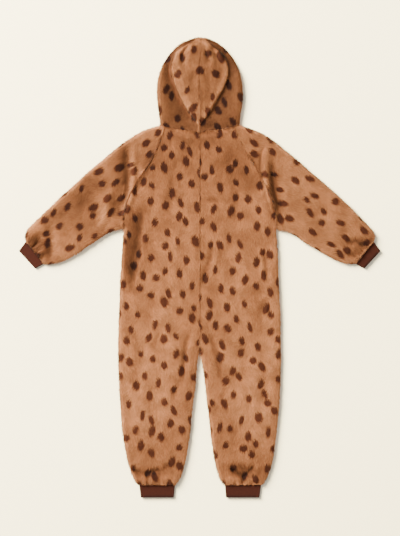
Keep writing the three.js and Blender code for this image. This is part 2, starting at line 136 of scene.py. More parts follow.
# The pile takes up this depth over the cloth. Open edges are drawn in, and seams on top are told by
# another piece close beside them.
pile_depth = 2.4 * MM
edge_inset = 0.5 * MM
seam_reach = 2 * MM
seam_on_top = 9.5 * MM
faces_sideways = 0.2
upper_layer = 7.2 * MM
least_wall = 0.5 * MM
lowest_cloth = 0.2 * MM


def lower_for_pile(cloth, node):
    """Draws the outside in by the depth of the pile, but not on the underside. At a seam it only lowers it.
    Gives 1 at an edge that lies open to the light, -1 at a seam on top and 0 elsewhere."""
    others = tree_of([solid for name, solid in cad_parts.items() if name != node])
    places, normals = points_of(cloth), normals_of(cloth)
    up = np.clip(normals[:, 2], 0, 1)
    outside = places[:, 2] > upper_layer
    sideways = np.linalg.norm(normals[:, :2], axis=1)
    edge = np.zeros(len(places))
    for i in np.nonzero(sideways > faces_sideways)[0]:
        way = Vector((normals[i, 0], normals[i, 1], 0)).normalized()
        at_seam = others.ray_cast(Vector(places[i]), way, seam_reach)[0] is not None
        edge[i] = -1 if at_seam and places[i, 2] > seam_on_top else 1
        if not at_seam:
            places[i, :2] -= normals[i, :2] * edge_inset
    room = np.maximum(wall_under(cloth, places, normals) - least_wall, 0)
    places[:, 2] -= np.where(outside, np.minimum(up * pile_depth, room), 0)
    places[:, 2] = np.maximum(places[:, 2], lowest_cloth)
    move_points(cloth, places)
    return edge


def near_line(places, line):
    """The nearest point of a line in plan: how far, how far along it from 0 to 1, and which way it lies."""
    line = np.array(line) * MM
    steps = np.diff(line, axis=0)
    lengths = np.linalg.norm(steps, axis=1)
    before = np.concatenate([[0], np.cumsum(lengths)])
    best = np.full(len(places), np.inf)
    along = np.zeros(len(places))
    beside = np.zeros((len(places), 2))
    for start, step, length, done in zip(line, steps, lengths, before):
        from_start = places[:, :2] - start
        share = np.clip(from_start @ step / length**2, 0, 1)
        distance = np.linalg.norm(from_start - share[:, None] * step, axis=1)
        closer = distance < best
        best = np.where(closer, distance, best)
        along = np.where(closer, (done + share * length) / before[-1], along)
        beside[closer] = np.array([-step[1], step[0]]) / length
    return best, along, beside


# A stroke is soft at both ends: how soon it is whole, and how much of it is there at its very end
whole_by, left_at_end = 3.5, 0.12


def strokes_at(places, strokes):
    """The sum of soft strokes at each place: the strength of each, its half width and its line in mm."""
    total = np.zeros(len(places))
    for strength, reach, line in strokes:
        distance, along, _ = near_line(places, line)
        fade = np.clip(whole_by * np.minimum(along, 1 - along) + left_at_end, 0, 1)
        total += strength * fade * np.exp(-((distance / (reach * MM)) ** 2))
    return total


# Crease depths and ridge heights in millimetres at which the painted shade and painted light on the pile
# are full, and how much each changes it. An open edge gets painted light, more where it faces the window.
crease_shade_full_at, crease_painted_shade = 5.5, 0.6
ridge_light_full_at, ridge_painted_light = 4, 0.22
edge_painted_light, edge_painted_light_at_window = 0.25, 0.35
window_way = (-0.7, 0.8)
# Painted shade along a seam on top
seam_painted_shade = 0.2
# The deepest and palest that the nap with its painted shade and light can read
deepest_nap_and_shade, palest_nap_and_light = 0.38, 1.28


def paint_nap_and_shade(cloth, change, edge, strokes, fold_painted_shade=0.0):
    """How pale or deep the pile reads: strokes of its lie and of painted shade, painted shade where a fold
    or seam sinks, and painted light on ridges and open edges. It notes the seams on top too, for the pile
    that leans over them."""
    places, normals = points_of(cloth), normals_of(cloth)
    # Nap and painted shade from the strokes and the hood's fold, painted shade in creases, painted light on
    # ridges
    nap_and_shade = 1 + strokes_at(places, strokes) + fold_painted_shade - crease_painted_shade * np.clip(-change / crease_shade_full_at, 0, 1)
    nap_and_shade += ridge_painted_light * np.clip(change / ridge_light_full_at, 0, 1)
    # Painted light on open edges, more where they face the window, and painted shade at seams on top
    to_window = np.clip(window_way[0] * normals[:, 0] + window_way[1] * normals[:, 1], 0, 1)
    nap_and_shade += np.clip(edge, 0, 1) * (edge_painted_light + edge_painted_light_at_window * to_window)
    nap_and_shade -= seam_painted_shade * np.clip(-edge, 0, 1)
    keep_values(cloth, "nap_and_shade", np.clip(nap_and_shade, deepest_nap_and_shade, palest_nap_and_light))
    keep_values(cloth, "seam", np.clip(-edge, 0, 1))


# The height that the creases are given for, and the least and most that they leave of the true height
lie_height = 13.8
least_share, most_share = 0.42, 1.6


def crease(cloth, creases):
    """Soft troughs and ridges: height, half width and line of each, in millimetres. They scale the height
    above the surface, so that the layers under a fold sink and rise with it."""
    places = points_of(cloth)
    change = strokes_at(places, creases)
    places[:, 2] *= np.clip(1 + change / lie_height, least_share, most_share)
    move_points(cloth, places)
    return change


def turned(plan, angle):
    c, s = np.cos(angle), np.sin(angle)
    return np.column_stack([plan[:, 0] * c - plan[:, 1] * s, plan[:, 0] * s + plan[:, 1] * c])


def lay_cut(piece, turn, shift):
    """A UV map in metres of the flat cut, for the print: plan places turned with the piece's grain."""
    flat = turned(points_of(piece), turn) + shift
    layer = piece.data.uv_layers.new(name="cut")
    corners = np.empty(len(piece.data.loops), dtype=np.int32)
    piece.data.loops.foreach_get("vertex_index", corners)
    layer.uv.foreach_set("vector", flat[corners].astype(np.float32).ravel())


# Creases that run over the seams are the same for all the pieces of one side
lie_creases = {
    "left": [
        (-4.2, 8, [(-143, 138), (-143, 96), (-147, 60), (-155, 30), (-160, -10), (-163, -60)]),
        (2.2, 9, [(-128, 132), (-130, 80), (-138, 30), (-146, -20)]),
        (-2.0, 7, [(-118, 262), (-128, 228), (-146, 196), (-158, 178)]),
        (-2.0, 8, [(-60, 236), (-74, 170), (-70, 110)]),
        (-1.6, 12, [(-34, 60), (-48, -10), (-40, -80)]),
        (1.6, 14, [(-88, 60), (-96, -20), (-90, -100)]),
        (-3.4, 6, [(-20, -146), (-26, -166), (-38, -205), (-39, -250), (-37, -275)]),
        (-2.6, 7, [(-50, -275), (-58, -292), (-62, -318)]),
        (2.4, 8, [(-12, -150), (-22, -190), (-28, -240), (-26, -280)]),
        (-1.8, 11, [(-90, -130), (-104, -190), (-98, -260)]),
        (-1.6, 11, [(-146, -180), (-154, -250), (-148, -320)]),
        (1.8, 12, [(-118, -220), (-126, -300), (-118, -370)]),
        (-1.8, 11, [(-72, -350), (-82, -400), (-78, -446)]),
        (-1.2, 2, [(-84, 336), (-45, 326), (0, 322)]),
        # The roll above the ankle cuff and its hollows
        (-4.5, 7, [(-158, -480), (-151, -487), (-140, -490)]),
        (-4.5, 7, [(-120, -482), (-107, -485), (-95, -483)]),
        (-3.8, 6, [(-88, -482), (-80, -476), (-72, -468)]),
        (-2.6, 6, [(-160, -484), (-130, -492), (-104, -488), (-78, -480)]),
        (3.0, 9, [(-150, -506), (-120, -508), (-90, -506), (-66, -500)]),
        (-3.5, 3.5, [(-96, -522), (-97, -500), (-99, -486)]),
        (-3.0, 3.5, [(-124, -522), (-125, -502), (-128, -490)]),
        (-2.5, 3.5, [(-76, -522), (-78, -505)]),
        # The roll of the armhole, the hollow of the sleeve beside it, and the gathers at the wrist
        (4.5, 6, [(-159, 318), (-158, 292), (-157, 245), (-156, 208), (-164, 172), (-172, 140)]),
        (-6.5, 8, [(-173, 310), (-172, 262), (-170, 225), (-173, 190), (-184, 150), (-187, 112)]),
        (2.0, 6, [(-190, 296), (-189, 262), (-188, 235)]),
        (-4.0, 12, [(-196, 170), (-200, 140), (-206, 112)]),
        (3.5, 10, [(-206, 200), (-222, 160), (-222, 126), (-236, 100), (-249, 84)]),
        (-1.0, 12, [(-250, 190), (-276, 158), (-300, 122)]),
        (-6.0, 7, [(-368, 106), (-364, 92), (-356, 70), (-356, 32), (-360, 18)]),
        (2.5, 9, [(-344, 96), (-338, 66), (-340, 34)]),
        (-8.0, 4.5, [(-404, 46), (-394, 55), (-382, 68)]),
        (3.0, 8, [(-408, 74), (-398, 84), (-386, 92)]),
        (3.0, 7, [(-388, 28), (-380, 38), (-372, 50)]),
    ],
    "right": [
        (-3.6, 6, [(20, -146), (28, -170), (41, -208), (45, -238), (54, -272)]),
        (2.0, 8, [(12, -150), (24, -190), (32, -240)]),
        (-3.0, 6, [(18, 160), (30, 164), (48, 158)]),
        (-2.8, 7, [(31, 62), (26, 30), (16, 0), (10, -40)]),
        (1.8, 8, [(46, 60), (38, 20), (28, -20)]),
        (-3.0, 5, [(156, 52), (160, 10), (164, -40)]),
        (2.0, 6, [(146, 50), (150, 10), (154, -30)]),
        (-3.2, 6, [(143, -120), (148, -95), (158, -78), (168, -90), (170, -120)]),
        (-2.0, 10, [(74, 226), (88, 168), (82, 104)]),
        (1.6, 13, [(96, 60), (104, -10), (98, -90)]),
        (-1.8, 11, [(100, -140), (112, -206), (104, -280)]),
        (-1.6, 11, [(150, -200), (158, -270), (150, -340)]),
        (1.8, 12, [(124, -240), (132, -310), (124, -380)]),
        (-1.8, 11, [(76, -350), (86, -400), (82, -446)]),
        (-2.2, 4, [(46, -314), (55, -305), (64, -296)]),
        (-1.2, 2, [(0, 322), (45, 326), (84, 336)]),
        # The roll above the ankle cuff, with the V of its gathers
        (-6.5, 5, [(70, -474), (86, -490), (104, -502)]),
        (-6.0, 5, [(132, -472), (118, -488), (106, -500)]),
        (-5.0, 4, [(103, -492), (103, -505), (102, -522)]),
        (3.0, 8, [(64, -500), (80, -508), (96, -508)]),
        (3.0, 8, [(110, -510), (130, -508), (146, -502)]),
        (-3.0, 3.5, [(84, -522), (85, -508)]),
        (-3.0, 3.5, [(124, -522), (126, -508)]),
        (-3.5, 10, [(88, -470), (104, -480), (120, -474)]),
        # The roll of the armhole, the hollow of the sleeve beside it, and the gathers at the wrist
        (4.5, 7, [(160, 300), (157, 279), (156, 240), (159, 206), (164, 175), (174, 143)]),
        (-6.0, 7, [(172, 262), (172, 225), (176, 190), (186, 152), (192, 118)]),
        (-3.5, 3, [(164, 310), (148, 284), (143, 245), (151, 211), (151, 188)]),
        (-1.8, 12, [(270, 190), (300, 150), (316, 118)]),
        (2.0, 12, [(300, 142), (318, 112), (330, 84)]),
        (-5.5, 6, [(352, 58), (366, 64), (386, 72)]),
        (-6.0, 3.5, [(379, 63), (386, 58), (394, 51)]),
        (3.0, 6, [(366, 52), (378, 48), (388, 44)]),
        (-3.5, 6, [(352, 34), (364, 32), (376, 26)]),
        (3.0, 8, [(392, 84), (402, 76), (410, 68)]),
    ],
}


# Strokes of brushed nap and of painted shade and light over broad folds: paler and deeper bands of the pile,
# as strength, half width and line in millimetres
nap_and_shade_strokes = {
    "left": [
        (-0.24, 20, [(-90, 316), (0, 304), (90, 316)]),
        (-0.22, 66, [(-150, 250), (-60, 244), (60, 256), (150, 262)]),
        (-0.66, 23, [(-139, 165), (-150, 110), (-163, 79), (-170, 20), (-172, -40)]),
        (-0.30, 22, [(-84, 331), (-112, 290), (-124, 210)]),
        (0.14, 26, [(-60, 110), (-50, 0), (-58, -90)]),
        (0.30, 52, [(-104, -130), (-112, -240), (-116, -340), (-112, -440)]),
        (-0.34, 15, [(-170, -488), (-112, -494), (-50, -486)]),
        (-0.70, 25, [(-424, 74), (-396, 60), (-366, 20)]),
        (-0.24, 24, [(-296, 66), (-256, 98), (-232, 130)]),
        (-0.30, 16, [(-150, 70), (-150, 44), (-152, 14)]),
        (0.18, 34, [(-88, -70), (-82, -130), (-86, -190)]),
        (0.16, 13, [(-178, -90), (-174, -220), (-158, -410)]),
        (-0.50, 15, [(-188, 312), (-186, 240), (-192, 170)]),
        (-0.46, 46, [(-220, 250), (-300, 150), (-372, 90)]),
        (0.12, 12, [(-216, 200), (-232, 150), (-236, 108)]),
    ],
    "right": [
        (-0.24, 20, [(-90, 316), (0, 304), (90, 316)]),
        (-0.22, 66, [(-150, 250), (-60, 244), (60, 256), (150, 262)]),
        (-0.28, 26, [(58, 290), (100, 246), (142, 190)]),
        (0.10, 28, [(70, 60), (92, -40), (100, -140)]),
        (0.28, 52, [(104, -130), (110, -240), (116, -340), (110, -440)]),
        (-0.34, 15, [(50, -486), (112, -494), (170, -488)]),
        (-0.50, 20, [(420, 70), (392, 56), (366, 22)]),
        (-0.30, 10, [(156, 224), (160, 194), (166, 168)]),
        (-0.16, 13, [(42, 486), (46, 460), (40, 430)]),
        (0.26, 16, [(160, 90), (170, -40), (172, -160), (166, -260), (150, -430)]),
        (-0.50, 11, [(172, 262), (176, 190), (176, 112)]),
        (0.08, 34, [(220, 240), (290, 160), (370, 90)]),
    ],
}


# The print, in metres: its spots to a metre both ways, the slant of their rows and how uneven they are, each
# spot's lean, half width and half length with what chance adds, its ragged rim and its soft edge
spots_a_metre = (26.5, 24.5)
row_slant = 0.5
unevenly = 0.62
least_lean, lean_more = -1.02, 0.9
narrowest, wider = 0.0060, 0.0034
shortest, longer = 0.0088, 0.0055
ragged_by, rags_a_metre = 0.22, 110.0
clear_at, full_at = 1.22, 0.78


def spots_group():
    """The print: soft oval spots set apart unevenly, long with the grain, from a map in metres."""
    group = bpy.data.node_groups.new("Spotted print", "ShaderNodeTree")
    face = group.interface
    face.new_socket(name="Cut", in_out="INPUT", socket_type="NodeSocketVector")
    face.new_socket(name="Spot", in_out="OUTPUT", socket_type="NodeSocketFloat")
    nodes, links = group.nodes, group.links
    entry = nodes.new("NodeGroupInput")
    leave = nodes.new("NodeGroupOutput")

    def maths(kind, a, b=None, c=None):
        node = nodes.new("ShaderNodeMath")
        node.operation = kind
        for socket, value in zip(node.inputs, (a, b, c)):
            if value is None:
                continue
            if isinstance(value, (int, float)):
                socket.default_value = value
            else:
                links.new(value, socket)
        return node.outputs[0]

    slant = nodes.new("ShaderNodeVectorRotate")
    slant.rotation_type = "Z_AXIS"
    slant.inputs["Angle"].default_value = row_slant
    links.new(entry.outputs["Cut"], slant.inputs["Vector"])
    stretch = nodes.new("ShaderNodeVectorMath")
    stretch.operation = "MULTIPLY"
    stretch.inputs[1].default_value = (*spots_a_metre, 0.0)
    links.new(slant.outputs[0], stretch.inputs[0])
    cells = nodes.new("ShaderNodeTexVoronoi")
    cells.voronoi_dimensions = "2D"
    cells.feature = "F1"
    cells.inputs["Scale"].default_value = 1.0
    cells.inputs["Randomness"].default_value = unevenly
    links.new(stretch.outputs[0], cells.inputs["Vector"])
    away = nodes.new("ShaderNodeVectorMath")
    away.operation = "SUBTRACT"
    links.new(stretch.outputs[0], away.inputs[0])
    links.new(cells.outputs["Position"], away.inputs[1])
    back = nodes.new("ShaderNodeVectorMath")
    back.operation = "DIVIDE"
    back.inputs[1].default_value = (*spots_a_metre, 1.0)
    links.new(away.outputs[0], back.inputs[0])
    chance = nodes.new("ShaderNodeSeparateColor")
    links.new(cells.outputs["Color"], chance.inputs[0])
    offset = nodes.new("ShaderNodeSeparateXYZ")
    links.new(back.outputs[0], offset.inputs[0])
    lean = maths("MULTIPLY_ADD", chance.outputs["Red"], lean_more, least_lean)
    lean_cos = maths("COSINE", lean)
    lean_sin = maths("SINE", lean)
    x, y = offset.outputs["X"], offset.outputs["Y"]
    across = maths("SUBTRACT", maths("MULTIPLY", x, lean_cos), maths("MULTIPLY", y, lean_sin))
    lengthwise = maths("ADD", maths("MULTIPLY", x, lean_sin), maths("MULTIPLY", y, lean_cos))
    half_width = maths("MULTIPLY_ADD", chance.outputs["Green"], wider, narrowest)
    half_length = maths("MULTIPLY_ADD", chance.outputs["Blue"], longer, shortest)
    u = maths("DIVIDE", across, half_width)
    v = maths("DIVIDE", lengthwise, half_length)
    radius = maths("SQRT", maths("ADD", maths("MULTIPLY", u, u), maths("MULTIPLY", v, v)))
    ragged = nodes.new("ShaderNodeTexNoise")
    ragged.noise_dimensions = "2D"
    ragged.inputs["Scale"].default_value = rags_a_metre
    ragged.inputs["Detail"].default_value = 3.0
    links.new(entry.outputs["Cut"], ragged.inputs["Vector"])
    edge = maths("MULTIPLY_ADD", ragged.outputs["Fac"], ragged_by, -ragged_by / 2)
    ramp = nodes.new("ShaderNodeMapRange")
    ramp.interpolation_type = "SMOOTHSTEP"
    ramp.inputs["From Min"].default_value = clear_at
    ramp.inputs["From Max"].default_value = full_at
    links.new(maths("ADD", radius, edge), ramp.inputs["Value"])
    links.new(ramp.outputs["Result"], leave.inputs["Spot"])
    return group


spotted_print = spots_group()


def bare_material(name, settings):
    """A new material with these inputs of its surface set, and what it takes to build on it."""
    made = bpy.data.materials.new(name)
    made.use_nodes = True
    surface = made.node_tree.nodes["Principled BSDF"]
    for socket, value in settings.items():
        surface.inputs[socket].default_value = value
    return made, made.node_tree.nodes, made.node_tree.links, surface


def two_tones(nodes, links, mask, low, high, low_at=0.0, high_at=1.0):
    """A colour from a mask: the low one up to low_at, the high one from high_at on."""
    tones = nodes.new("ShaderNodeValToRGB")
    for stop, place, colour in zip(tones.color_ramp.elements, (low_at, high_at), (low, high)):
        stop.position = place
        stop.color = (*colour, 1)
    links.new(mask, tones.inputs["Fac"])
    return tones.outputs["Color"]


deep_fawn, pale_fawn = (0.435, 0.174, 0.064), (0.67, 0.278, 0.107)
spot_brown = (0.108, 0.030, 0.0112)
sheen_colour = (1.0, 0.74, 0.52)
# Painted shade turns redder as it deepens, by this much
shade_redder_by = 0.15


def plush_material(name, root, is_pile):
    """Fawn plush with its print, darker deep down as painted shade: the ground all over, the pile towards
    its roots. It is scaled, and reddened where deeper, by the lie of its pile and its painted shade and
    light.
    """
    made, nodes, links, surface = bare_material(name, {
        "Roughness": 0.82, "Specular IOR Level": 0.18, "Sheen Weight": 0.2, "Sheen Roughness": 0.45,
        "Sheen Tint": (*sheen_colour, 1)})
    cut = nodes.new("ShaderNodeUVMap")
    cut.uv_map = "cut"
    spots = nodes.new("ShaderNodeGroup")
    spots.node_tree = spotted_print
    links.new(cut.outputs["UV"], spots.inputs["Cut"])
    patches = nodes.new("ShaderNodeTexNoise")
    patches.noise_dimensions = "2D"
    patches.inputs["Scale"].default_value = 24.0
    patches.inputs["Detail"].default_value = 4.0
    patches.inputs["Roughness"].default_value = 0.62
    links.new(cut.outputs["UV"], patches.inputs["Vector"])
    fawn = two_tones(nodes, links, patches.outputs["Fac"], deep_fawn, pale_fawn, 0.33, 0.66)
    print_mix = nodes.new("ShaderNodeMix")
    print_mix.data_type = "RGBA"
    print_mix.inputs["B"].default_value = (*spot_brown, 1)
    links.new(spots.outputs["Spot"], print_mix.inputs["Factor"])
    links.new(fawn, print_mix.inputs["A"])
    # Painted shade of the deep pile: the root colour multiplies the print
    depth = nodes.new("ShaderNodeMix")
    depth.data_type = "RGBA"
    depth.blend_type = "MULTIPLY"
    depth.inputs["B"].default_value = (*root, 1)
    links.new(print_mix.outputs["Result"], depth.inputs["A"])
    if is_pile:
        tip = nodes.new("ShaderNodeAttribute")
        tip.attribute_name = "rootward_shade"
        links.new(tip.outputs["Fac"], depth.inputs["Factor"])
    else:
        depth.inputs["Factor"].default_value = 1.0
    # The nap with its painted shade and light scales the colour, and painted shade reddens it
    nap_and_painted_shade = nodes.new("ShaderNodeAttribute")
    nap_and_painted_shade.attribute_name = "nap_and_shade"
    deeper = nodes.new("ShaderNodeMath")
    deeper.operation = "MULTIPLY_ADD"
    deeper.inputs[1].default_value = -shade_redder_by
    deeper.inputs[2].default_value = 1 + shade_redder_by
    links.new(nap_and_painted_shade.outputs["Fac"], deeper.inputs[0])
    redder = nodes.new("ShaderNodeGamma")
    links.new(depth.outputs["Result"], redder.inputs["Color"])
    links.new(deeper.outputs[0], redder.inputs["Gamma"])
    shade = nodes.new("ShaderNodeVectorMath")
    shade.operation = "SCALE"
    links.new(redder.outputs["Color"], shade.inputs[0])
    links.new(nap_and_painted_shade.outputs["Fac"], shade.inputs["Scale"])
    links.new(shade.outputs[0], surface.inputs["Base Color"])
    return made


# The ground and the roots of the pile take these darker colours as painted shade deep in the pile
plush_ground = plush_material("Plush ground", (0.80, 0.70, 0.64), False)
plush_pile = plush_material("Plush pile", (0.66, 0.54, 0.47), True)


def dress(piece, material):
    piece.data.materials.clear()
    piece.data.materials.append(material)


plush_pieces = []


def lay_plush(kind, side, rounds, turn, shift, creases, fold=None):
    """One piece of plush in place of its solid: rounded, lowered for its pile, folded over if it has a fold,
    creased, given the lie of its pile with painted shade and light, and printed. It is noted for the pile,
    with the turn and shift of its print."""
    piece = plush_from(f"{kind}_{side}", f"cloth_{kind}_{side}", rounds)
    edge = lower_for_pile(piece, f"{kind}_{side}")
    fold_painted_shade = fold(piece, side, edge) if fold else 0.0
    change = crease(piece, creases)
    paint_nap_and_shade(piece, change, edge, nap_and_shade_strokes[side], fold_painted_shade)
    lay_cut(piece, turn, shift)
    dress(piece, plush_ground)
    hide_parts(f"{kind}_{side}")
    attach(piece, "root")
    plush_pieces.append((piece, kind, side, turn, shift))


for side, shift in (("left", (0.013, 0.004)), ("right", (0.171, 0.029))):
    lay_plush("back", side, 2, 0.0, shift, lie_creases[side])


# Front panels: the left and right front, with the zip between them, hidden under the onesie here.
# They are the same plush, lying pile down, and show only as a thin edge past the side and leg seams.
for side, shift in (("left", (0.313, 0.017)), ("right", (0.471, 0.041))):
    lay_plush("front", side, 1, 0.0, shift, lie_creases[side])


# Sleeves: each one plush piece, folded along the top of the arm and sewn along its lower edge.
# The raglan seam joins it to the back and front, and its end is gathered into the wrist cuff.
arm_turn = math.radians(46)
for side, turn, shift in (("left", arm_turn, (0.613, 0.013)), ("right", -arm_turn, (0.871, 0.037))):
    lay_plush("sleeve", side, 2, turn, shift, lie_creases[side])


# Hood: two plush halves sewn along the centre of the head, from the neck to the edge round the face.
# Laid flat, its spare depth falls into one drop-shaped fold on top, and small creases fan out from the
# crown.
hood_creases = {
    "left": [
        (2.6, 6, [(-15, 546), (-27, 515), (-30, 496), (-28, 480)]),
        (-4.5, 5, [(-24, 542), (-37, 518), (-41, 497), (-40, 480)]),
        (2.0, 7, [(-44, 526), (-54, 506), (-58, 484)]),
        (3.0, 12, [(-90, 500), (-92, 450), (-90, 400), (-88, 350)]),
        (-1.8, 9, [(-10, 480), (-16, 450), (-12, 410)]),
        (-2.4, 4, [(-24, 340), (-16, 338), (-8, 343)]),
    ],
    "right": [
        (3.0, 5, [(10, 546), (17, 534), (20, 520), (29, 497), (31, 480)]),
        (-4.5, 4, [(10, 528), (15, 513), (22, 500), (26, 490)]),
        (-4.0, 4, [(26, 534), (37, 522), (44, 504)]),
        (2.2, 5, [(34, 534), (48, 516), (54, 498)]),
        (3.0, 12, [(90, 500), (92, 450), (90, 400), (88, 350)]),
        (-1.8, 9, [(14, 480), (22, 440), (14, 400)]),
        (-2.4, 4, [(26, 340), (18, 338), (10, 343)]),
    ],
}
# The rolled edge of the drop-shaped fold, from the crown down to the neck
fold_edge = {
    "left": [(-13, 544), (-30, 535), (-47, 525), (-60, 508), (-67, 488), (-69, 470), (-63, 454), (-56, 439),
             (-47, 420), (-37, 401), (-24, 379), (-13, 364), (-3, 346)],
    "right": [(14, 544), (26, 535), (40, 522), (53, 509), (62, 496), (65, 480), (63, 463), (56, 443),
              (46, 419), (37, 399), (27, 382), (15, 368), (3, 352)],
}
# The hollow beside the fold, as depth and half width, and the painted shade that lies over the whole hood
# there and deepens close to the fold
hollow_beside = {"left": (-7.0, 24), "right": (-4.5, 18)}
hood_shade = {"left": (0.48, 0.22), "right": (0.50, 0.34)}
shade_reach = 28
# The fold itself gets a little painted shade, and less of it towards the neck
fold_shade, paler_at_neck = 0.26, 0.14
neck_from, neck_reach = 455, 70
# The rim of the fold: how high it stands, its half widths on the fold and beside it, and its push outwards
rim_rise, rim_reach, rim_foot = 3.2, 7, 2.5
rim_push, push_reach = 1.4, 4
# The layer on top is told by its height, from where it starts to where it is whole
upper_from, upper_over = 6.5, 2.5
crown_end, neck_end = 5, 9


def bell(distance, reach):
    return np.exp(-((distance / (reach * MM)) ** 2))


def roll_over(hood, side, edge):
    """The fold lies over the hood: its rim stands up and out, and the cloth beside it sinks under it.
    Gives the painted shade of the pile on and beside the fold, and takes the painted light off open edges
    beside it."""
    places, normals = points_of(hood), normals_of(hood)
    upper = np.clip((places[:, 2] / MM - upper_from) / upper_over, 0, 1)
    seen = np.maximum(upper, np.clip(2 * normals[:, 2], 0, 1))
    line = np.array(fold_edge[side])
    distance, along, beside = near_line(places, line)
    out = beside * (-1 if side == "left" else 1)
    nearest_way = np.column_stack([out, np.zeros(len(places))])
    half_fold = np.interp(places[:, 1], line[::-1, 1] * MM, np.abs(line[:, 0] * MM)[::-1])
    inside = np.abs(places[:, 0]) < half_fold
    ends = np.clip(crown_end * along, 0, 1) * np.clip(neck_end * (1 - along), 0, 1)
    fade = ends * upper
    sink, reach = hollow_beside[side]
    rim = rim_rise * bell(distance, np.where(inside, rim_reach, rim_foot))
    hollow = sink * bell(distance, reach) * np.clip(distance / (rim_foot * MM), 0, 1)
    places[:, 2] += fade * rim * MM
    places[:, 2] *= 1 + ends * np.where(inside, 0, hollow) / lie_height
    push = rim_push * bell(distance, push_reach) * MM
    places += nearest_way * (fade * push)[:, None]
    move_points(hood, places)
    # Painted shade on and beside the fold, and less painted light on open edges beside it
    all_over, by_the_fold = hood_shade[side]
    near_fold = bell(distance, shade_reach)
    edge *= np.where(inside, 1, 1 - near_fold)
    towards_neck = np.clip((neck_from * MM - places[:, 1]) / (neck_reach * MM), 0, 1)
    on_fold = -fold_shade + paler_at_neck * towards_neck
    return np.where(inside, on_fold, -all_over - by_the_fold * near_fold) * seen


hood_turn = math.radians(12)
for side, turn, shift in (("left", hood_turn, (1.113, 0.021)), ("right", -hood_turn, (1.371, 0.006))):
    lay_plush("hood", side, 2, turn, shift, hood_creases[side] + lie_creases[side], roll_over)


# Pile: short fibres in fine tufts, combed down the body and legs and out along the arms.
# Each tuft is a slim closed spike rooted in the cloth, and those at the ends hang over the cuffs.
cuff_seams = (
    [(-156, -516), (-64, -516)],
    [(62, -516), (152, -516)],
    [(-418, 66), (-373, 8)],
    [(418, 66), (367, 8)],
)
cuff_reach = 7 * MM
whole_within = 0.3


def cuff_nearness(places):
    """One at the gathered ends that hang over the cuffs, and nothing 9 mm away from them."""
    near = np.zeros(len(places))
    for line in cuff_seams:
        distance, _, _ = near_line(places, line)
        near = np.maximum(near, np.clip(1 + whole_within - distance / cuff_reach, 0, 1))
    return near


# A ray along the standing pile starts this far off the cloth and looks this far for other cloth, in mm
off_cloth, looks_as_far = 1.2, 16


def hidden_from(tree, places, stand):
    """Which places have other cloth close over them, so that no pile can stand there."""
    hidden = np.zeros(len(places), dtype=bool)
    for i, (place, way) in enumerate(zip(places, stand)):
        way = Vector(way).normalized()
        hit = tree.ray_cast(Vector(place) + way * off_cloth * MM, way, looks_as_far * MM)
        hidden[i] = hit[0] is not None
    return hidden


# Two slow swirls, by x and by y: the turn in radians, its waves a metre, and how much and how finely
# waves the other way bend them
swirl_by_x = (0.42, 61, 1.7, 37)
swirl_by_y = (0.38, 47, 1.3, 53)
swirls_apart = 2.0
down_the_body = (0.0, -1.0)
out_the_arm = (0.74, -0.67)


def comb(places, along_arm):
    """The way the pile lies in plan: down the body, out along an arm, with slow swirls in it."""
    x, y = places[:, 0], places[:, 1]
    out, down = out_the_arm if along_arm else down_the_body
    way = np.column_stack([np.sign(x) * out, np.full(len(x), down)])
    much, waves, bend, cross = swirl_by_x
    swirl = much * np.sin(x * waves + bend * np.sin(y * cross))
    much, waves, bend, cross = swirl_by_y
    swirl = swirl + much * np.sin(y * waves + bend * np.sin(x * cross + swirls_apart))
    return turned(way, swirl)


# Where pile grows: not on the side that lies down, nor on the inside of the lower layer, nor at the very
# bottom. More of it grows at the cuffs, and on a sleeve at the raglan seam above the armpit.
faces_down, faces_up = -0.35, 0.5
lower_layer, very_bottom = 5.6 * MM, 0.8 * MM
denser_at_cuff, denser_at_seam = 2.2, 4
armpit_top, armpit_reach = 220 * MM, 30 * MM
drawn_for_each = 1.5
# How it stands: its slope out of the cloth in degrees, how uneven it is, and how far it leans over a seam
least_slope, most_slope = 13, 29
uneven = 0.14
looks_up, looks_up_at_seam = 0.35, 3
over_seam = 1.6
# A tuft: its length, half width and how deep it is rooted, and what of its length is lost at a cuff
pile_length = 8.5 * MM
tuft_half = 0.62 * MM
rooted = 0.7
shorter_at_cuff = 0.4
length_spread, width_spread, nap_spread = (0.7, 1.15), (0.7, 1.25), (0.8, 1.2)
lowest_tip, lowest_foot = 0.4 * MM, 0.25 * MM
softly_round = 0.4
tuft_faces = ((0, 3, 1), (1, 3, 2), (2, 3, 0), (0, 1, 2))


def unit(vectors):
    return vectors / np.linalg.norm(vectors, axis=-1, keepdims=True)


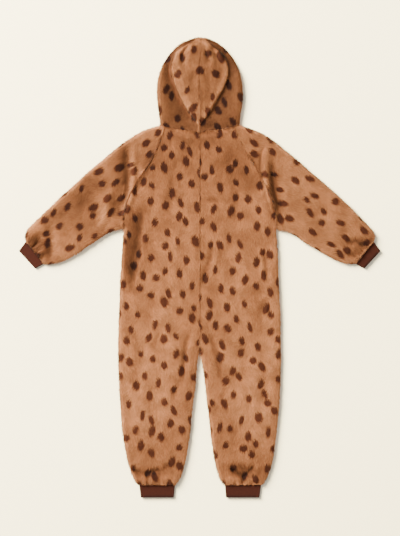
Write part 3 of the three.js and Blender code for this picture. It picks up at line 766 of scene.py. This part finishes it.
def grow_pile(cloth, name, tufts, seed, tree, along_arm=False):
    """One joined mesh of tufts on the outside of a piece of cloth, and the place of each tuft's root."""
    chance = np.random.default_rng(seed)
    mesh = cloth.data
    mesh.calc_loop_triangles()
    triangles = np.empty(3 * len(mesh.loop_triangles), dtype=np.int32)
    mesh.loop_triangles.foreach_get("vertices", triangles)
    triangles = triangles.reshape(-1, 3)
    places, normals = points_of(cloth), normals_of(cloth)
    nap_and_painted_shade, sewn = values_of(cloth, "nap_and_shade"), values_of(cloth, "seam")

    # Choose the triangles that pile grows on
    a, b, c = (places[triangles[:, k]] for k in range(3))
    facing = np.cross(b - a, c - a)
    area = np.linalg.norm(facing, axis=1) / 2
    turned_down = facing[:, 2] < faces_down * 2 * area
    middle_z = (a + b + c)[:, 2] / 3
    low_inside = (middle_z < lower_layer) & (facing[:, 2] > faces_up * 2 * area)
    weight = np.where(turned_down | low_inside | (middle_z < very_bottom), 0, area)
    weight *= 1 + denser_at_cuff * cuff_nearness((a + b + c) / 3)
    if along_arm:
        weight *= 1 + denser_at_seam * sewn[triangles].mean(1)
    drawn = int(tufts * drawn_for_each)
    chosen = chance.choice(len(triangles), drawn, p=weight / weight.sum())

    # Place the roots, and leave out those under other cloth
    first = np.sqrt(chance.random(drawn))[:, None]
    second = chance.random(drawn)[:, None]
    shares = [1 - first, first * (1 - second), first * second]
    ids = triangles[chosen]
    root = sum(share * places[ids[:, k]] for k, share in enumerate(shares))
    normal = unit(sum(share * normals[ids[:, k]] for k, share in enumerate(shares)))
    nap_and_shade = sum(share[:, 0] * nap_and_painted_shade[ids[:, k]] for k, share in enumerate(shares))
    seam = sum(share[:, 0] * sewn[ids[:, k]] for k, share in enumerate(shares)) * along_arm
    seam *= np.clip((root[:, 1] - armpit_top) / armpit_reach, 0, 1)
    upwards = looks_up + looks_up_at_seam * seam
    stand = normal + np.column_stack([np.zeros(drawn), np.zeros(drawn), upwards])
    kept = np.nonzero(~hidden_from(tree, root, stand))[0][:tufts]
    root, normal, nap_and_shade, seam = root[kept], normal[kept], nap_and_shade[kept], seam[kept]
    count = len(root)

    # Lean each tuft along the combed way and shape it
    flat = comb(root, along_arm)
    at_cuff = cuff_nearness(root)
    lean = np.column_stack([flat + over_seam * seam[:, None] * normal[:, :2], np.zeros(count)])
    lean += chance.normal(0, uneven, (count, 3))
    lean -= normal * np.sum(lean * normal, axis=1)[:, None]
    lean = unit(lean)
    slope = np.radians(chance.uniform(least_slope, most_slope, count))[:, None]
    way = lean * np.cos(slope) + normal * np.sin(slope)
    length = (pile_length * chance.uniform(*length_spread, count) * (1 - shorter_at_cuff * at_cuff))[:, None]
    side = unit(np.cross(normal, way))
    half = (tuft_half * chance.uniform(*width_spread, count))[:, None]
    foot = root - normal * rooted * MM
    behind = foot - lean * half
    tip = root + way * length
    corners = np.stack([foot + side * half, foot - side * half, behind + normal * half, tip], 1)
    corners[:, 3, 2] = np.maximum(corners[:, 3, 2], lowest_tip)
    corners[:, :3, 2] = np.maximum(corners[:, :3, 2], lowest_foot)
    base = 4 * np.arange(count)[:, None]
    faces = np.concatenate([base + face for face in tuft_faces], 1)

    # Make one mesh of them, with normals near those of the cloth
    grown = bpy.data.meshes.new(name)
    grown.vertices.add(4 * count)
    grown.vertices.foreach_set("co", corners.astype(np.float32).ravel())
    grown.loops.add(12 * count)
    grown.loops.foreach_set("vertex_index", faces.astype(np.int32).ravel())
    grown.polygons.add(4 * count)
    grown.polygons.foreach_set("loop_start", np.arange(0, 12 * count, 3, dtype=np.int32))
    grown.update(calc_edges=True)
    pile = bpy.data.objects.new(name, grown)
    bpy.context.scene.collection.objects.link(pile)
    soft = unit(np.stack([side, -side, normal, normal], 1) * softly_round + normal[:, None, :])
    grown.normals_split_custom_set_from_vertices(soft.reshape(-1, 3).tolist())
    # Painted shade: the three corners at the root take the darker root colour, and each tuft carries the nap
    # and painted shade of the cloth
    keep_values(pile, "rootward_shade", np.tile([1.0, 1.0, 1.0, 0.0], count))
    keep_values(pile, "nap_and_shade", np.repeat(nap_and_shade * chance.uniform(*nap_spread, count), 4))
    return pile, root


# A tuft's own place in the second map: half width, depth, and how far its tip lies past its true place
map_half, map_depth, map_past = 0.8 * MM, 0.9 * MM, 1.2 * MM
map_rim = 0.01


def lay_pile_cut(pile, root, turn, shift):
    """Each tuft takes the print of the cloth at its root. A second map lays the tufts out for a bake."""
    flat = turned(root, turn) + shift
    layer = pile.data.uv_layers.new(name="cut")
    layer.uv.foreach_set("vector", np.repeat(flat, 12, axis=0).astype(np.float32).ravel())
    tips = points_of(pile).reshape(-1, 4, 3)[:, 3, :2] - np.array([0, map_past])
    plan = root[:, :2]
    wide, deep = np.array([map_half, 0]), np.array([0, map_depth])
    four = np.stack([plan + wide, plan - wide, plan + deep, tips], 1)
    low, high = four.min((0, 1)), four.max((0, 1))
    four = map_rim + (1 - 2 * map_rim) * (four - low) / (high - low).max()
    above = pile.data.uv_layers.new(name="OFBake")
    above.uv.foreach_set("vector", four[:, np.ravel(tuft_faces)].astype(np.float32).ravel())


all_cloth = tree_of([piece for piece, *_ in plush_pieces])
thin = 1.0
# Each kind of piece: its tufts, its cut in metres as width, length and area, and what it lies on
kinds = {
    "back": (40000, 0.20, 0.87, 0.137, "cloth_front_{}"),
    "front": (4500, 0.20, 0.87, 0.137, "pale_surface"),
    "sleeve": (24000, 0.30, 0.40, 0.089, "pale_surface"),
    "hood": (14000, 0.19, 0.30, 0.045, "pale_surface"),
}
for seed, (cloth, kind, side, turn, shift) in enumerate(plush_pieces, start=11):
    tufts, cut_width, cut_length, cut_area, under = kinds[kind]
    pile, root = grow_pile(cloth, f"pile_{kind}_{side}", int(tufts * thin), seed, all_cloth, kind == "sleeve")
    lay_pile_cut(pile, root, turn, shift)
    dress(pile, plush_pile)
    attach(pile, "root")


# Cuffs: doubled rib knit in dark brown, stretched onto the gathered ends of the arms and legs.
# Each is a flattened tube whose ribs run along the limb.
deep_rib, pale_rib = (0.038, 0.0062, 0.0010), (0.070, 0.0125, 0.0024)


def rib_material():
    made, nodes, links, surface = bare_material("Rib knit", {
        "Roughness": 0.88, "Specular IOR Level": 0.2, "Sheen Weight": 0.15})
    place = nodes.new("ShaderNodeTexCoord")
    fuzz = nodes.new("ShaderNodeTexNoise")
    fuzz.inputs["Scale"].default_value = 900.0
    fuzz.inputs["Detail"].default_value = 3.0
    links.new(place.outputs["Object"], fuzz.inputs["Vector"])
    shade = two_tones(nodes, links, fuzz.outputs["Fac"], deep_rib, pale_rib, 0.3, 0.75)
    links.new(shade, surface.inputs["Base Color"])
    bump = nodes.new("ShaderNodeBump")
    bump.inputs["Strength"].default_value = 0.35
    bump.inputs["Distance"].default_value = 0.0006
    links.new(fuzz.outputs["Fac"], bump.inputs["Height"])
    links.new(bump.outputs["Normal"], surface.inputs["Normal"])
    return made


rib_knit = rib_material()
for limb, round_it, along_it, area in (("wrist", 0.125, 0.034, 0.0042), ("ankle", 0.16, 0.038, 0.0058)):
    for side in ("left", "right"):
        cuff = plush_from(f"{limb}_cuff_{side}", f"rib_{limb}_{side}", 1)
        dress(cuff, rib_knit)
        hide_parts(f"{limb}_cuff_{side}")
        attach(cuff, "root")


# Zip: the hidden front closure, a closed chain on woven tapes with its slider and a ribbon to pull it by.
# It lies between the fronts, clear of the surface.
grain_depth = 0.75


def plain_finish(name, colour, roughness, metallic, scale):
    made, nodes, links, surface = bare_material(name, {"Metallic": metallic, "Roughness": roughness})
    place = nodes.new("ShaderNodeTexCoord")
    grain = nodes.new("ShaderNodeTexNoise")
    grain.inputs["Scale"].default_value = scale
    links.new(place.outputs["Object"], grain.inputs["Vector"])
    darker = tuple(grain_depth * part for part in colour)
    shade = two_tones(nodes, links, grain.outputs["Fac"], darker, colour)
    links.new(shade, surface.inputs["Base Color"])
    return made


tape_finish = plain_finish("Zip tape", (0.20, 0.075, 0.038), 0.85, 0.0, 700.0)
slider_finish = plain_finish("Zip slider", (0.33, 0.24, 0.15), 0.42, 1.0, 300.0)
for node, finish in (
    ("zip_tape", tape_finish),
    ("zip_pull_ribbon", tape_finish),
    ("zip_slider", slider_finish),
):
    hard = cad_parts[node]
    hard.data.materials.clear()
    hard.data.materials.append(finish)

# The two rows of teeth stand half a pitch apart along the chain and stop short of its ends
chain = points_of(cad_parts["zip_tape"])
tooth_pitch = 2.6 * MM
tooth_size = (2.4 * MM, 1.3 * MM, 0.9 * MM)
tooth_edge = 0.2 * MM
row_apart = 0.7 * MM
row_step = 0.25
teeth_middle = 1.2 * MM
teeth_left_off = 2
for row, name in ((-1, "zip_teeth_left"), (1, "zip_teeth_right")):
    bpy.ops.object.select_all(action="DESELECT")
    first_y = chain[:, 1].min() + (1 + row_step * row) * tooth_pitch
    bpy.ops.mesh.primitive_cube_add(size=1, location=(row * row_apart, first_y, teeth_middle))
    teeth = bpy.context.object
    teeth.name = name
    teeth.scale = tooth_size
    bpy.ops.object.transform_apply(location=True, scale=True)
    softened = teeth.modifiers.new("Softened", "BEVEL")
    softened.width = tooth_edge
    softened.segments = 1
    bpy.ops.object.modifier_apply(modifier=softened.name)
    repeat = teeth.modifiers.new("Repeat", "ARRAY")
    repeat.use_relative_offset = False
    repeat.use_constant_offset = True
    repeat.constant_offset_displace = (0, tooth_pitch, 0)
    repeat.count = int(np.ptp(chain[:, 1]) / tooth_pitch) - teeth_left_off
    bpy.ops.object.modifier_apply(modifier=repeat.name)
    dress(teeth, slider_finish)
    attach(teeth, "root")


# Surface and light: a plain warm white surface, seen straight from above.
# A broad light from the upper left gives soft shadows to the right and below.
surface_wide = 12
surface_clear = 0.1 * MM
bpy.ops.object.select_all(action="DESELECT")
bpy.ops.mesh.primitive_plane_add(size=surface_wide, location=(0, 0, -surface_clear))
surface_under = bpy.context.object
surface_under.name = "pale_surface"
paper, _, _, _ = bare_material("Pale surface", {"Base Color": (0.92, 0.85, 0.66, 1), "Roughness": 0.9})
surface_under.data.materials.append(paper)
# The surface throws none of its light back at the plush, because it is lit more strongly than the plush
surface_under.visible_diffuse = False

sky = bpy.data.worlds.new("Soft studio")
sky.use_nodes = True
sky.node_tree.nodes["Background"].inputs["Color"].default_value = (1.0, 0.985, 0.96, 1)
sky.node_tree.nodes["Background"].inputs["Strength"].default_value = 0.85
bpy.context.scene.world = sky

lamp_place = Vector((-2.3, 1.9, 2.05))
lamp_wide = 2.2


def window_light(name, watts, colour, times_away):
    """A round lamp at the window's place or beyond it. It grows with its distance, for shadows as soft."""
    lamp = bpy.data.lights.new(name, "AREA")
    lamp.shape = "DISK"
    lamp.size = lamp_wide * times_away
    lamp.energy = watts * times_away**2
    lamp.color = colour
    placed = bpy.data.objects.new(name, lamp)
    placed.location = lamp_place * times_away
    placed.rotation_euler = (-lamp_place).to_track_quat("-Z", "Y").to_euler()
    bpy.context.scene.collection.objects.link(placed)
    return placed


window_light("Window light", 345, (1.0, 0.97, 0.93), 1)

# The surface is lit by the same window once more, so that it reads as pale as it is beside the plush
surface_light = window_light("Window light on the surface", 1160, (1.0, 0.90, 0.52), 3)
surface_alone = bpy.data.collections.new("Surface alone")
surface_alone.objects.link(surface_under)
surface_light.light_linking.receiver_collection = surface_alone

# The camera sees the photo's height at 2.4 mm a pixel, measured at the height of the cloth
picture_height = 536
metres_a_pixel = 2.4 * MM
camera_height = 3.4
cloth_height = 8 * MM
picture_middle = (0.7 * MM, -0.4 * MM)
eye = bpy.data.cameras.new("From above")
eye.sensor_fit = "VERTICAL"
eye.sensor_height = 24.0
eye.lens = eye.sensor_height * (camera_height - cloth_height) / (picture_height * metres_a_pixel)
eye_object = bpy.data.objects.new("From above", eye)
eye_object.location = (*picture_middle, camera_height)
bpy.context.scene.collection.objects.link(eye_object)
bpy.context.scene.camera = eye_object
